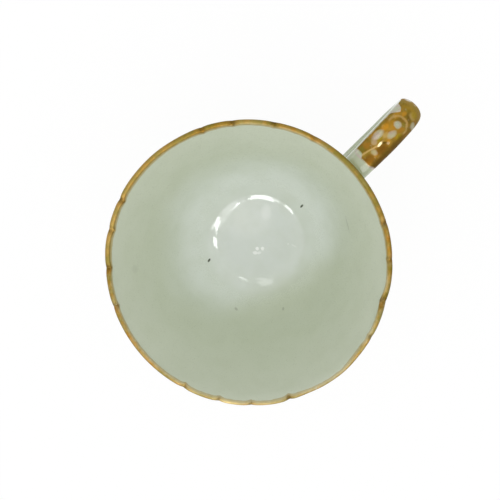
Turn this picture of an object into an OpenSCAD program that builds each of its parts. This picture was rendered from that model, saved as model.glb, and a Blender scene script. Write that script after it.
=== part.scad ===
// China teacup with a gilt, lobed lip, a foot ring and a gilded strap handle.
// The cup stands on z = 0, its axis is the z axis and the handle lies along +x.
// The clay parts meet face to face, as they do where slip joins them, and each
// gilt film lies on the glaze facet by facet.

/* [Bowl] */
// Radius of the cup at its lip
rim_r = 45; // [42:0.5:50]
// Height from the table to the top of the lip
cup_h = 55; // [50:0.5:62]
// Height of the underside of the well above the table
base_h = 2.4; // [1.8:0.1:3.4]
// Thickness of the floor of the well
floor_t = 3; // [2.4:0.1:3.6]
// Thickness of the wall where it turns up from the well
haunch_t = 2.8; // [2.2:0.1:3.4]
// Thickness of the wall at the lip
lip_t = 1.6; // [1.4:0.1:2.2]
// Radius of the flat well inside
well_r = 12; // [9:0.5:14]
// Radius of the small curve round the well
well_curve_r = 9; // [7:0.5:11]
// Slope of the floor where the small curve ends
well_slope = 25; // [20:1:30]
// Radius of the big curve between the well and the wall
haunch_r = 24; // [20:0.5:27]
// Slope of the wall where the big curve ends
haunch_slope = 64; // [58:1:68]
// Slope of the wall at the flared lip
lip_slope = 62; // [56:1:76]

/* [Lobed lip] */
// Height of the band at the top of the wall that the lobes fade into
lobed_band_h = 3.4; // [2.8:0.1:4]
// How far a notch between two lobes cuts in, seen from above
notch_cut = 0.55; // [0.1:0.05:0.8]
// How far the edge dips in a notch, seen from the side
notch_dip = 0.7; // [0.1:0.05:1]
// How far the edge draws in from the middle of a lobe to its ends
lobe_draw = 0.15; // [0:0.05:0.4]
// How far the edge falls from the middle of a lobe to its ends
lobe_fall = 0.45; // [0:0.05:0.8]
// Turn of the first lobe round the cup, from the line of the handle
lobe_turn = -2; // [-10:0.5:10]

/* [Foot ring] */
// Radius of the outside of the foot at the table
foot_r = 21.5; // [20:0.25:23]
// Width of the face that the cup rests on
foot_face_w = 1.3; // [1:0.1:1.8]
// Rounding at both edges of that face
foot_round = 0.5; // [0.3:0.1:0.7]
// How far the outside of the foot draws in on its way up
foot_draw = 1.1; // [0.6:0.1:1.6]
// How far the inside of the foot draws in on its way up
foot_inner_draw = 1.6; // [1:0.1:2]

/* [Handle] */
// How far the back of the handle stands out past the lip
handle_reach = 25.8; // [21:0.2:29]
// Depth of the middle of the upper root below the top of the lip
upper_root_drop = 8.6; // [8:0.1:10]
// Height of the middle of the lower root above the table
lower_root_h = 18; // [16:0.5:20]
// Height of the outermost point of the handle above the table
elbow_h = 38; // [34:0.5:41]
// Width of the strap at its widest
strap_w = 9.2; // [8:0.2:11]
// Depth of the rounded back of the strap
strap_back = 3.4; // [2.6:0.1:3.8]
// Depth of the flatter inner side of the strap
strap_belly = 1.9; // [1.4:0.1:2.4]
// How steeply the strap climbs from the upper root
upper_climb = 12; // [0:1:18]
// How steeply the strap leaves the lower root, below level
lower_fall = 8; // [0:1:16]

/* [Slip joints] */
// Thickness of the slip collar against the wall
slip_t = 0.6; // [0.4:0.05:0.8]
// Thickness of the slip collar at its thin end
slip_edge_t = 0.12; // [0.1:0.02:0.2]
// How far the slip collar runs out along the strap
slip_run = 2.2; // [1.6:0.1:3]

/* [Gilding] */
// Thickness of the gilt film
gilt_t = 0.12; // [0.1:0.01:0.2]
// How far the rim gilding runs down outside
rim_gilt_out = 1.9; // [1.6:0.1:2.2]
// How far the rim gilding runs down inside
rim_gilt_in = 1.7; // [1.6:0.1:2.2]
// Width of the gilt line on the foot
foot_gilt_w = 1; // [0.8:0.1:1.2]
// Height of the lower edge of that line above the table
foot_gilt_h = 1.8; // [1.4:0.1:2.2]
// Length of the bare strap next to the upper root, from the lip outward
bare_root_l = 3.4; // [2:0.2:6]
// Distance from the lip to the middle of the first reserved oval, along the strap
reserve_first = 11.8; // [10:0.2:13]
// Length of the reserved ovals
reserve_l = 5.6; // [4:0.2:6]
// Width of the reserved ovals
reserve_w = 1.7; // [1.2:0.1:2]
// Distance of the ovals from the middle of the strap, to one side and the other
reserve_shift = 1.3; // [1.1:0.05:1.5]
// How far the second oval of a pair lies past the first, along the strap
reserve_step = 2.4; // [1:0.2:4]
// Diameter of the reserved dot that follows each pair
dot_d = 1.8; // [1.2:0.1:2.2]
// How far the dot lies past the first oval, along the strap
dot_step = 7.3; // [6.8:0.1:7.8]
// Distance from one pair to the next, along the strap
reserve_pitch = 20; // [14:0.5:22]

/* [Hidden] */

// Steps along the curves of the wall
curve_steps = 10;
// Steps round the half circle at the top of the lip
lip_round_steps = 5;
// Steps along each half of the handle, and points round its section
strap_steps = 24;
strap_sides = 20;
// Power below 1 squares the strap's oval section a little
strap_power = 0.85;
// Points round the section that stay bare on one side, counted from the edge
bare_sides = 3;
// Overrun of every cut
cut = 1;
// Depth of the lip's tongue in the wall, and its clearance to the faces of the wall
tongue_h = 0.9;
tongue_gap = 0.06;
// How far the tongue rises past the wall, and again to the lip's full thickness
tongue_blend = 0.25;
// How far the ends of the strap run on inside the bowl before it is cut away
root_sink = 5;

porcelain = [0.90, 0.92, 0.88];
gold = [0.78, 0.58, 0.20];

function cubic(p, t) =
    pow(1 - t, 3) * p[0] + 3 * pow(1 - t, 2) * t * p[1]
    + 3 * (1 - t) * t * t * p[2] + pow(t, 3) * p[3];
function cubic_way(p, t) =
    3 * pow(1 - t, 2) * (p[1] - p[0]) + 6 * (1 - t) * t * (p[2] - p[1])
    + 3 * t * t * (p[3] - p[2]);
function polar(r, angle) = [r * cos(angle), r * sin(angle)];
function mix(a, b, t) = a + (b - a) * t;
function smooth(t) = t * t * (3 - 2 * t);
function reversed(list) = [for (i = [len(list) - 1 : -1 : 0]) list[i]];

// The wall's profile, as [radius, height]

floor_h = base_h + floor_t;
band_h = cup_h - lobed_band_h;
blend_h = band_h + 2 * tongue_blend;
lip_middle = [rim_r - lip_t / 2, cup_h - lip_t / 2];
lip_half = lip_t / 2 / sin(lip_slope);
function lip_line(h) = lip_middle[0] - (lip_middle[1] - h) / tan(lip_slope);

well_centre = [well_r, floor_h + well_curve_r];
function on_well(slope) = well_centre + polar(well_curve_r, slope - 90);
haunch_centre = on_well(well_slope) + polar(haunch_r, well_slope + 90);
function on_haunch(slope) = haunch_centre + polar(haunch_r, slope - 90);

wall_foot = on_haunch(haunch_slope);
wall_head = [lip_line(band_h) - lip_half, band_h];
wall_pull = norm(wall_head - wall_foot) / 3;
wall_curve = [wall_foot, wall_foot + polar(wall_pull, haunch_slope),
    wall_head - polar(wall_pull, lip_slope), wall_head];

// Each entry holds the point inside, the slope there and the wall's thickness
wall_stations = concat(
    [for (i = [0 : curve_steps])
        let (t = i / curve_steps, slope = mix(0, well_slope, t))
        [on_well(slope), slope, mix(floor_t, haunch_t, t)]],
    [for (i = [1 : curve_steps])
        let (t = i / curve_steps, slope = mix(well_slope, haunch_slope, t))
        [on_haunch(slope), slope, haunch_t]],
    [for (i = [1 : curve_steps])
        let (t = i / curve_steps, way = cubic_way(wall_curve, t))
        [cubic(wall_curve, t), atan2(way[1], way[0]), mix(haunch_t, lip_t, smooth(t))]]);

inner_profile = concat([[0, floor_h]], [for (s = wall_stations) s[0]]);
outer_profile = concat([[0, base_h]],
    [for (s = wall_stations) s[0] + polar(s[2], s[1] - 90)],
    [[lip_line(band_h) + lip_half, band_h]]);

// Lobes of the lip: a long one over each quarter and three short ones between

long_lobe = 45;
short_lobe = (90 - long_lobe) / 3;
// Angle that a notch takes from the end of a lobe, and the widest angle of one facet
notch_span = 2.6;
facet_span = 4.4;
lobes = [for (q = [0 : 3]) each concat(
    [[lobe_turn + 90 * q - long_lobe / 2, long_lobe]],
    [for (i = [0 : 2])
        [lobe_turn + 90 * q + long_lobe / 2 + i * short_lobe, short_lobe]])];
function lobe_turns(start, width) =
    let (inner = width - 2 * notch_span, steps = ceil(inner / facet_span))
    concat([start, start + notch_span / 2],
        [for (i = [0 : steps]) start + notch_span + inner * i / steps],
        [start + width - notch_span / 2]);
// Each entry is [turn, place in the lobe from -1 to 1, depth in the notch from 0 to 1]
lip_turns = [for (lobe = lobes) for (turn = lobe_turns(lobe[0], lobe[1]))
    let (from_end = min(turn - lobe[0], lobe[0] + lobe[1] - turn))
    [turn, 2 * (turn - lobe[0]) / lobe[1] - 1,
        pow(max(0, 1 - from_end / notch_span), 2)]];

function edge_in(place) = lobe_draw * place[1] * place[1] + notch_cut * place[2];
function edge_down(place) = lobe_fall * place[1] * place[1] + notch_dip * place[2];
// A point of the lip's section, moved by the lobes in step with its height
function lobed(point, place) =
    let (share = max(0, (point[1] - blend_h) / (cup_h - blend_h)),
        r = point[0] - edge_in(place) * share,
        h = point[1] - edge_down(place) * share)
    [r * cos(place[0]), r * sin(place[0]), h];

function lip_side(h, side) = [lip_line(h) + side * lip_half, h];
function lip_tongue(h, side) = [lip_line(h) + side * (lip_half - tongue_gap), h];
function gilt_skin(lift) = concat(
    [lip_side(cup_h - rim_gilt_out, 1) + polar(lift, lip_slope - 90)],
    [for (i = [0 : lip_round_steps])
        lip_middle + polar(lip_t / 2 + lift, lip_slope - 90 + 180 * i / lip_round_steps)],
    [lip_side(cup_h - rim_gilt_in, -1) + polar(lift, lip_slope + 90)]);
lip_section = concat(
    [lip_tongue(band_h - tongue_h, 1), lip_tongue(band_h + tongue_blend, 1),
        lip_side(blend_h, 1)],
    gilt_skin(0),
    [lip_side(blend_h, -1), lip_tongue(band_h + tongue_blend, -1),
        lip_tongue(band_h - tongue_h, -1)]);

// Two facets over the corners a, b, c and d of a skin. A film's lower skin runs the other
// way round than the glaze that it lies on, so there the fold is turned to match.
function facets(a, b, c, d, turned) =
    turned ? [[a, b, d], [b, c, d]] : [[a, b, c], [a, c, d]];

// A closed band of equal rings, joined round the cup
module ring_loft(rings, lower_side = undef) {
    turns = len(rings);
    sides = len(rings[0]);
    polyhedron(
        points = [for (ring = rings) each ring],
        faces = [for (i = [0 : turns - 1]) for (j = [0 : sides - 1])
            let (here = i * sides, there = (i + 1) % turns * sides, k = (j + 1) % sides)
            each facets(here + j, here + k, there + k, there + j,
                is_num(lower_side) && j >= lower_side)]);
}

// A bar of equal rings, closed at both ends
module bar_loft(rings, lower_side = undef) {
    sides = len(rings[0]);
    ends = len(rings) - 1;
    polyhedron(
        points = [for (ring = rings) each ring],
        faces = concat(
            [for (i = [0 : ends - 1]) for (j = [0 : sides - 1])
                let (here = i * sides, there = here + sides, k = (j + 1) % sides)
                each facets(here + j, there + j, there + k, here + k,
                    is_num(lower_side) && j >= lower_side)],
            [[for (j = [0 : sides - 1]) j]],
            [[for (j = [sides - 1 : -1 : 0]) ends * sides + j]]));
}

module bowl() {
    color(porcelain) union() {
        rotate_extrude($fn = 180) polygon(concat(inner_profile, reversed(outer_profile)));
        ring_loft([for (place = lip_turns) [for (p = lip_section) lobed(p, place)]]);
    }
}

// Everything inside the bowl's outer face, to cut what seats on it
module bowl_seat() {
    rotate_extrude($fn = 180)
        polygon(concat(outer_profile, [[0, band_h]]));
}

module rim_gilding() {
    skin = concat(gilt_skin(gilt_t), reversed(gilt_skin(0)));
    color(gold)
        ring_loft([for (place = lip_turns) [for (p = skin) lobed(p, place)]], len(skin) / 2);
}

// Foot ring

foot_top = on_haunch(well_slope)[1] + floor_t;
foot_inner_r = foot_r - foot_face_w - 2 * foot_round;
module foot_ring() {
    color(porcelain) difference() {
        rotate_extrude($fn = 180) polygon(concat(
            [for (i = [0 : 3]) [foot_inner_r + foot_round, foot_round]
                + polar(foot_round, 180 + 30 * i)],
            [for (i = [0 : 3]) [foot_r - foot_round, foot_round]
                + polar(foot_round, 270 + 30 * i)],
            [[foot_r - foot_draw, foot_top], [foot_inner_r - foot_inner_draw, foot_top]]));
        bowl_seat();
    }
}

function foot_side(h) =
    foot_r - foot_draw * (h - foot_round) / (foot_top - foot_round);
module foot_gilding() {
    low = foot_gilt_h;
    high = foot_gilt_h + foot_gilt_w;
    color(gold) rotate_extrude($fn = 180) polygon([
        [foot_side(low), low], [foot_side(low) + gilt_t, low],
        [foot_side(high) + gilt_t, high], [foot_side(high), high]]);
}

// Handle: a strap swept along two curves that meet at the elbow

function outer_r(h) = lookup(h, [for (p = outer_profile) [p[1], p[0]]]);
upper_root_h = cup_h - upper_root_drop;
strap_start = [outer_r(upper_root_h) - root_sink, upper_root_h];
strap_end = [outer_r(lower_root_h) - root_sink, lower_root_h];
elbow = [rim_r + handle_reach - strap_back, elbow_h];
upper_span = elbow[0] - strap_start[0];
lower_span = elbow[0] - strap_end[0];
// How far each curve runs on along its ends, as shares of its span and its height
climb_share = 0.5;
shoulder_share = 1.15;
drop_share = 0.62;
return_share = 0.42;
upper_curve = [strap_start, strap_start + polar(upper_span * climb_share, upper_climb),
    elbow + [0, (upper_root_h - elbow_h) * shoulder_share], elbow];
lower_curve = [elbow, elbow - [0, (elbow_h - lower_root_h) * drop_share],
    strap_end + polar(lower_span * return_share, -lower_fall), strap_end];

function strap_curve(i) = i < strap_steps ? upper_curve : lower_curve;
function strap_t(i) = (i < strap_steps ? i : i - strap_steps) / strap_steps;
function strap_middle(i) = cubic(strap_curve(i), strap_t(i));
function strap_slope(i) =
    let (way = cubic_way(strap_curve(i), strap_t(i))) atan2(way[1], way[0]);
// Width along the handle, as shares of its widest
width_shares = [0.9, 0.95, 1, 1, 0.97, 0.9, 0.83, 0.82, 0.92];
function strap_share(i) =
    let (place = i / strap_steps / 2 * (len(width_shares) - 1),
        k = min(floor(place), len(width_shares) - 2))
    mix(width_shares[k], width_shares[k + 1], smooth(place - k));
function powered(x) = sign(x) * pow(abs(x), strap_power);
// A point of the strap's skin: station i, side j, lifted by a film or a collar
function strap_point(i, j, lift) =
    let (turn = 360 * j / strap_sides,
        half_w = strap_w / 2 * strap_share(i),
        deep = sin(turn) > 0 ? strap_back : strap_belly,
        across = powered(cos(turn)) * half_w,
        out = powered(sin(turn)) * deep,
        facing = polar(1, atan2(out / deep / deep, across / half_w / half_w)),
        place = strap_middle(i) + polar(out + lift * facing[1], strap_slope(i) + 90))
    [place[0], across + lift * facing[0], place[1]];
function strap_ring(i, lift) = [for (j = [0 : strap_sides - 1]) strap_point(i, j, lift)];

module handle() {
    color(porcelain) difference() {
        bar_loft([for (i = [0 : 2 * strap_steps]) strap_ring(i, 0)]);
        bowl_seat();
    }
}

// Slip squeezed out round each root and wiped to a collar

// The stations near one end of the strap, close enough for the collar's taper
function collar_stations(end) =
    [for (i = [0.5 : 0.5 : 2 * strap_steps - 0.5])
        if (norm(strap_middle(i) - strap_middle(end)) < root_sink + slip_run) i];
function collar_lift(i, end) =
    let (run = norm(strap_middle(i) - strap_middle(end)) - root_sink)
    mix(slip_t, slip_edge_t, max(0, run / slip_run));
module slip_collar(end) {
    stations = collar_stations(end);
    before = ceil(stations[0]) - 1;
    after = floor(stations[len(stations) - 1]) + 1;
    color(porcelain) difference() {
        bar_loft([for (i = stations) strap_ring(i, collar_lift(i, end))]);
        bar_loft([for (i = [before : after]) strap_ring(i, 0)]);
        bowl_seat();
    }
}

module upper_slip_joint() {
    slip_collar(0);
}
module lower_slip_joint() {
    slip_collar(2 * strap_steps);
}

// Gilding on the back of the handle, with ovals and dots left in reserve

// Distance along the back of the strap from its first station
function back_run(i) = i == 0 ? 0
    : back_run(i - 1) + norm(strap_point(i, strap_sides / 4, 0)
        - strap_point(i - 1, strap_sides / 4, 0));
back_runs = [for (i = [0 : 2 * strap_steps]) back_run(i)];
back_length = back_runs[2 * strap_steps];
function station_at(run) = lookup(run, [for (i = [0 : 2 * strap_steps]) [back_runs[i], i]]);
lip_run = rim_r - strap_start[0];
gilt_stations = [for (i = [0 : 2 * strap_steps])
    if (back_runs[i] > lip_run + bare_root_l
        && back_runs[i] < back_length - root_sink - slip_run - bare_root_l) i];
// The film leaves a white border along the strap's +y side and wraps the other side
gilt_sides = [for (j = [bare_sides : strap_sides / 2 - 1]) j];

module oval(long, wide) {
    polygon([for (turn = [0 : 15 : 345]) [long / 2 * cos(turn), wide / 2 * sin(turn)]]);
}
module on_back(run, shift) {
    i = station_at(run);
    k = floor(i);
    middle = mix(strap_middle(k), strap_middle(k + 1), i - k);
    turn = mix(strap_slope(k), strap_slope(k + 1), i - k);
    translate([middle[0], shift, middle[1]]) rotate([0, -turn, 0])
        linear_extrude(strap_back + cut) children();
}
module reserve_group(run) {
    on_back(run, reserve_shift) oval(reserve_l, reserve_w);
    on_back(run + reserve_step, -reserve_shift) oval(reserve_l, reserve_w);
    on_back(run + dot_step, 0) oval(dot_d, dot_d);
}

module handle_gilding() {
    first_run = lip_run + reserve_first;
    last_run = back_runs[gilt_stations[len(gilt_stations) - 1]] - dot_step - dot_d;
    color(gold) difference() {
        bar_loft([for (i = gilt_stations) concat(
            [for (j = gilt_sides) strap_point(i, j, gilt_t)],
            [for (j = reversed(gilt_sides)) strap_point(i, j, 0)])], len(gilt_sides));
        for (run = [first_run : reserve_pitch : last_run]) reserve_group(run);
    }
}

bowl();
foot_ring();
handle();
upper_slip_joint();
lower_slip_joint();
rim_gilding();
handle_gilding();
foot_gilding();
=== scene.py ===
"""A china teacup: a glazed bowl with a gilt, lobed lip, a foot ring and a gilded strap handle.

The cup stands on z = 0, its axis is the z axis and its handle lies along +x. Turns round the
cup are in degrees from the handle.
"""

import math

import bmesh
import bpy
from mathutils import Matrix, Vector, noise


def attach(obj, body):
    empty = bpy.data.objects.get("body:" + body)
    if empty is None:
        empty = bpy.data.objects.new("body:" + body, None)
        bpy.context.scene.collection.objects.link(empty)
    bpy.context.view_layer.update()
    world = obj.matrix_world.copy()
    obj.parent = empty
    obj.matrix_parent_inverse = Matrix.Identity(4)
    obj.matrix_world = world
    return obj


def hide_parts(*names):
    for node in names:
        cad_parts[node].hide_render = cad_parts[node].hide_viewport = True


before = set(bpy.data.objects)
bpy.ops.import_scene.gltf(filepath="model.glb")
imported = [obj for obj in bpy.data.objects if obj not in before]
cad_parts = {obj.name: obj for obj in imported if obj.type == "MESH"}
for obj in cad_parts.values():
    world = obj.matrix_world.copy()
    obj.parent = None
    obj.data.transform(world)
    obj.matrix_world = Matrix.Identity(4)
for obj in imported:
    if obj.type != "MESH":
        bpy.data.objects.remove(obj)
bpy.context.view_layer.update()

MM = 0.001
# Points closer than this are merged, and edges that turn by less than this, in degrees, look smooth
MERGE_DISTANCE = MM / 1000
SMOOTH_ANGLE = 50

# Bowl
RIM_R = 45 * MM
CUP_H = 55 * MM
BASE_H = 2.4 * MM
FLOOR_T = 3 * MM
HAUNCH_T = 2.8 * MM
LIP_T = 1.6 * MM
WELL_R = 12 * MM
WELL_CURVE_R = 9 * MM
WELL_SLOPE = 25
HAUNCH_R = 24 * MM
HAUNCH_SLOPE = 64
LIP_SLOPE = 62
CURVE_STEPS = 14
SPIN_STEPS = 720

# Lobed lip
LOBED_BAND_H = 3.4 * MM
BAND_BLEND = 0.5 * MM
LOBE_POWER = 1.5
LOBE_DRAW = 0.1 * MM
LOBE_FALL = 0.35 * MM
NOTCH_DIP_SHARE = 1.8
LEG_STEPS = 8
ROUND_STEPS = 10
# Turn of each notch in the lip, how many millimetres it cuts in and the turn that it takes on each side
NOTCHES = (
    (20.5, 0.12, 3),
    (37, 0.14, 3.2),
    (53.5, 0.24, 3.4),
    (66, 0.28, 3),
    (110.7, 0.42, 3),
    (123.5, 0.28, 3.4),
    (139.5, 0.28, 3.6),
    (155.7, 0.24, 3),
    (199.9, 0.3, 3),
    (215.3, 0.28, 3),
    (228.5, 0.16, 3),
    (244.2, 0.42, 2.8),
    (287, 0.18, 3),
    (302.5, 0.5, 7),
    (320, 0.18, 3),
    (335, 0.14, 3),
)
# Slow bulges and hollows of the hand-finished edge: turn, size in millimetres and spread in degrees
BULGES = (
    (76.5, -0.2, 7),
    (105.5, 0.15, 6),
    (129.5, 0.15, 5),
    (143, -0.2, 9),
    (238, 0.12, 4),
    (252, -0.2, 4),
    (266, 0.15, 9),
    (270, 0.15, 5),
    (300, -0.5, 9),
    (332.5, 0.15, 6),
)
# The lip is a little out of round: waves round the cup, turn of a crest and height in millimetres
ROUNDNESS = (
    (2, 54.5, 0.28),
    (3, 2.7, 0.11),
)

# Foot ring
FOOT_R = 21.5 * MM
FOOT_FACE_W = 1.3 * MM
FOOT_ROUND = 0.5 * MM
FOOT_DRAW = 1.1 * MM
FOOT_INNER_DRAW = 1.6 * MM
# The sides of the foot draw in up to this height
FOOT_TOP = 9.243 * MM
FOOT_SINK = 0.5 * MM
FOOT_STEPS = 240
CORNER_STEPS = 6
SIDE_STEPS = 4
# The pool of glaze between the foot and the bowl, which is higher and wider inside by these shares
FILLET_RISE = 1.6 * MM
FILLET_REACH = 1.5 * MM
FILLET_PULL = 0.6
FILLET_LIFT = 0.05 * MM
FILLET_STEPS = 8
INNER_RISE_SHARE = 1.2
INNER_REACH_SHARE = 1.5
# The foot is ground bare below this height
GROUND_H = 0.16 * MM

# Handle
HANDLE_REACH = 25.8 * MM
UPPER_ROOT_DROP = 8.6 * MM
LOWER_ROOT_H = 18 * MM
ELBOW_H = 38 * MM
STRAP_W = 9.2 * MM
STRAP_BACK = 3.4 * MM
STRAP_BELLY = 1.9 * MM
UPPER_CLIMB = 12
LOWER_FALL = 8
ROOT_SINK = 5 * MM
STRAP_POWER = 0.85
CLIMB_SHARE = 0.5
SHOULDER_SHARE = 1.15
DROP_SHARE = 0.62
RETURN_SHARE = 0.42
WIDTH_SHARES = (0.9, 0.95, 1, 1, 0.97, 0.9, 0.83, 0.82, 0.92)
STRAP_STEPS = 200
STRAP_SIDES = 72
STRAP_SINK = 0.8 * MM
# Each root leaves the wall within this way of its end of the strap
ROOT_WAY = 0.4
HALVINGS = 30
WAY_STEP = 0.001
# The directions of the strap and of the wall at a root are taken over these
WAY_PROBE = 0.02
SLOPE_SPAN = MM
SLIP_FILLET = 1.5 * MM
SLIP_STEPS = 8
# How deep the thin edges of the slip lie in the wall and in the strap
SLIP_IN_WALL = 0.12 * MM
SLIP_IN_STRAP = 0.06 * MM
# The handle was set on by hand and points a little to one side of the cup's axis
STRAP_SKEW = 3.5
SKEW_PIVOT = Vector((54 * MM, 0))

# Gilding
GILT_T = 0.05 * MM
LIP_GILT_OUT = 2.4 * MM
LIP_GILT_STEPS = 24
FOOT_GILT_W = 1 * MM
FOOT_GILT_H = 1.8 * MM
FOOT_GILT_STEPS = 4
# Where the lip's gilding ends inside: turn, and millimetres along the glaze from the lip's tip
LIP_GILT_ENDS = (
    (7.5, 2.1),
    (19.5, 1.75),
    (35.5, 1.75),
    (49.5, 1.8),
    (67.5, 2.4),
    (77.5, 2.1),
    (91.5, 2.35),
    (113.5, 2.3),
    (133.5, 2.35),
    (147.5, 1.8),
    (157.5, 1.8),
    (173.5, 1.6),
    (191.5, 1.4),
    (206.5, 1.35),
    (219.5, 1.25),
    (233.5, 1.25),
    (244.5, 1.45),
    (255.5, 1),
    (267.5, 1),
    (281.5, 1.7),
    (286.5, 1.0),
    (293.5, 1.5),
    (302.5, 2.0),
    (309.5, 1.4),
    (319.5, 2.0),
    (335.5, 2.3),
    (351.5, 2.4),
)
GILT_WOBBLE = 0.16 * MM
# The brush's wobble is read from a noise round these circles: size, radius and height
WOBBLE_CIRCLES = ((GILT_WOBBLE, 20, 0), (GILT_WOBBLE / 2, 80, 5))
# Where the lip's gilding is rubbed off: turn and how much
LIP_WEAR = ((256, 1), (286.5, 0.4), (155, 0.6), (213, 0.35))
LIP_WEAR_SPREAD = 3.5
# How pale the lip's gold is painted on its crest round the cup, as painted highlights, and how thin it is
LIP_HIGHLIGHTS = (
    (0, 0),
    (36, 0),
    (47, 0.2),
    (58, 0),
    (88, 0.15),
    (125, 0.25),
    (146, 0),
    (190, 0.05),
    (204, 0.35),
    (210, 0.15),
    (218, 0.9),
    (227, 0.25),
    (237, 0.35),
    (246, 0.1),
    (288, 0.15),
    (300, 0),
)
LIP_THIN = (
    (0, 0.1),
    (70, 0),
    (135, 0),
    (148, 0.2),
    (185, 0.15),
    (200, 0.1),
    (240, 0.2),
    (252, 0.35),
    (272, 0.3),
    (284, 0.15),
    (300, 0.2),
)
NOTCH_DRIP = 0.35 * MM
# The gilding on the strap's back: where it lies round the section, and along the back from over the lip
GILT_FIRST_TURN = 24
GILT_LAST_TURN = 186
GILT_START = 2.6 * MM
GILT_END = 78 * MM
GILT_COLUMNS = 300
GILT_ROWS = 60
BACK_STEPS = 1000

# Camera, from where the lip and the handle lie in the picture
FRAME_PX = 500
RIM_PX = (247.85, 264.8)
LEAN = 11.05
LEAN_TURN = 25
HANDLE_PX_ANGLE = 41.97
CAMERA_DISTANCE = 0.5
FOCAL_PX = 1609
SENSOR = 36
CLIP_START = 0.01


def polar(length, angle):
    """A vector of that length at an angle in degrees."""
    turn = math.radians(angle)
    return Vector((math.cos(turn), math.sin(turn))) * length


def mix(first, second, share):
    return first + (second - first) * share


def smooth(share):
    return share * share * (3 - 2 * share)


def cubic(knots, t):
    """A point of a cubic curve through its first and last knots."""
    a, b, c, d = knots
    return a * (1 - t) ** 3 + b * (3 * t * (1 - t) ** 2) + c * (3 * t * t * (1 - t)) + d * t**3


def cubic_slope(knots, t):
    """The slope of that curve, in degrees."""
    a, b, c, d = knots
    way = (b - a) * (1 - t) ** 2 + (c - b) * (2 * t * (1 - t)) + (d - c) * t * t
    return math.degrees(math.atan2(way.y, way.x))


def turn_between(first, second):
    """The smaller angle between two turns."""
    return abs((first - second + 180) % 360 - 180)


def along_table(table, turn):
    """The value of a table of (turn, value) pairs that goes round the cup."""
    turn = turn % 360
    last_turn, last_value = table[-1][0] - 360, table[-1][1]
    for next_turn, next_value in (*table, (table[0][0] + 360, table[0][1])):
        if turn <= next_turn:
            share = (turn - last_turn) / (next_turn - last_turn)
            return mix(last_value, next_value, smooth(share))
        last_turn, last_value = next_turn, next_value
    return last_value


# The wall's profile, as (radius, height)

FLOOR_H = BASE_H + FLOOR_T
BAND_H = CUP_H - LOBED_BAND_H
BLEND_H = BAND_H + BAND_BLEND
LIP_MIDDLE = Vector((RIM_R - LIP_T / 2, CUP_H - LIP_T / 2))
LIP_HALF = LIP_T / 2 / math.sin(math.radians(LIP_SLOPE))
LIP_QUARTER = LIP_T / 2 * math.pi / 2


def lip_line(height):
    return LIP_MIDDLE.x - (LIP_MIDDLE.y - height) / math.tan(math.radians(LIP_SLOPE))


def wall_stations():
    """Places inside the wall, from the well up, each with its slope and the wall's thickness."""
    well_centre = Vector((WELL_R, FLOOR_H + WELL_CURVE_R))
    haunch_centre = well_centre + polar(WELL_CURVE_R, WELL_SLOPE - 90) + polar(HAUNCH_R, WELL_SLOPE + 90)
    foot = haunch_centre + polar(HAUNCH_R, HAUNCH_SLOPE - 90)
    head = Vector((lip_line(BAND_H) - LIP_HALF, BAND_H))
    pull = (head - foot).length / 3
    wall = (foot, foot + polar(pull, HAUNCH_SLOPE), head - polar(pull, LIP_SLOPE), head)
    stations = []
    for i in range(CURVE_STEPS + 1):
        slope = WELL_SLOPE * i / CURVE_STEPS
        thickness = mix(FLOOR_T, HAUNCH_T, i / CURVE_STEPS)
        stations.append((well_centre + polar(WELL_CURVE_R, slope - 90), slope, thickness))
    for i in range(1, CURVE_STEPS + 1):
        slope = mix(WELL_SLOPE, HAUNCH_SLOPE, i / CURVE_STEPS)
        stations.append((haunch_centre + polar(HAUNCH_R, slope - 90), slope, HAUNCH_T))
    for i in range(1, CURVE_STEPS + 1):
        share = i / CURVE_STEPS
        thickness = mix(HAUNCH_T, LIP_T, smooth(share))
        stations.append((cubic(wall, share), cubic_slope(wall, share), thickness))
    return stations


WALL = wall_stations()
INNER = [Vector((0, FLOOR_H)), Vector((WELL_R / 2, FLOOR_H))] + [place for place, _, _ in WALL]
OUTER = [Vector((0, BASE_H)), Vector((WELL_R / 2, BASE_H))]
OUTER += [place + polar(thickness, slope - 90) for place, slope, thickness in WALL[:-1]]
OUTER += [Vector((lip_line(BAND_H) + LIP_HALF, BAND_H))]


def lip_skin(run, lift=0):
    """A place on the lip, by its distance along the glaze from the tip: inside is above zero."""
    side = 1 if run > 0 else -1
    leg = max(0, abs(run) - LIP_QUARTER)
    angle = LIP_SLOPE + side * 90 * min(1, abs(run) / LIP_QUARTER)
    return LIP_MIDDLE + polar(LIP_T / 2 + lift, angle) - polar(leg, LIP_SLOPE)


def leg_length(side):
    """Length of the lip's straight part, down to the wall, inside (1) or outside (-1)."""
    top = LIP_MIDDLE.y + LIP_T / 2 * math.sin(math.radians(LIP_SLOPE + side * 90))
    return (top - BAND_H) / math.sin(math.radians(LIP_SLOPE))


def outer_r(height):
    """Radius of the bowl's outside at a height."""
    for low, high in zip(OUTER, OUTER[1:]):
        if low.y < height <= high.y:
            return mix(low.x, high.x, (height - low.y) / (high.y - low.y))
    return lip_line(height) + LIP_HALF


def under_h(radius):
    """Height of the bowl's outside at a radius."""
    for near, far in zip(OUTER, OUTER[1:]):
        if near.x < radius <= far.x:
            return mix(near.y, far.y, (radius - near.x) / (far.x - near.x))
    return BASE_H


# Lobes of the lip


def notch_depth(turn):
    """How far the notches cut in at a turn, and how deep in a notch it lies, from 0 to 1."""
    cut = 0
    depth = 0
    for centre, size, spread in NOTCHES:
        share = max(0, 1 - turn_between(turn, centre) / spread) ** 2
        cut += size * MM * share
        depth = max(depth, share)
    return cut, depth


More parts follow.
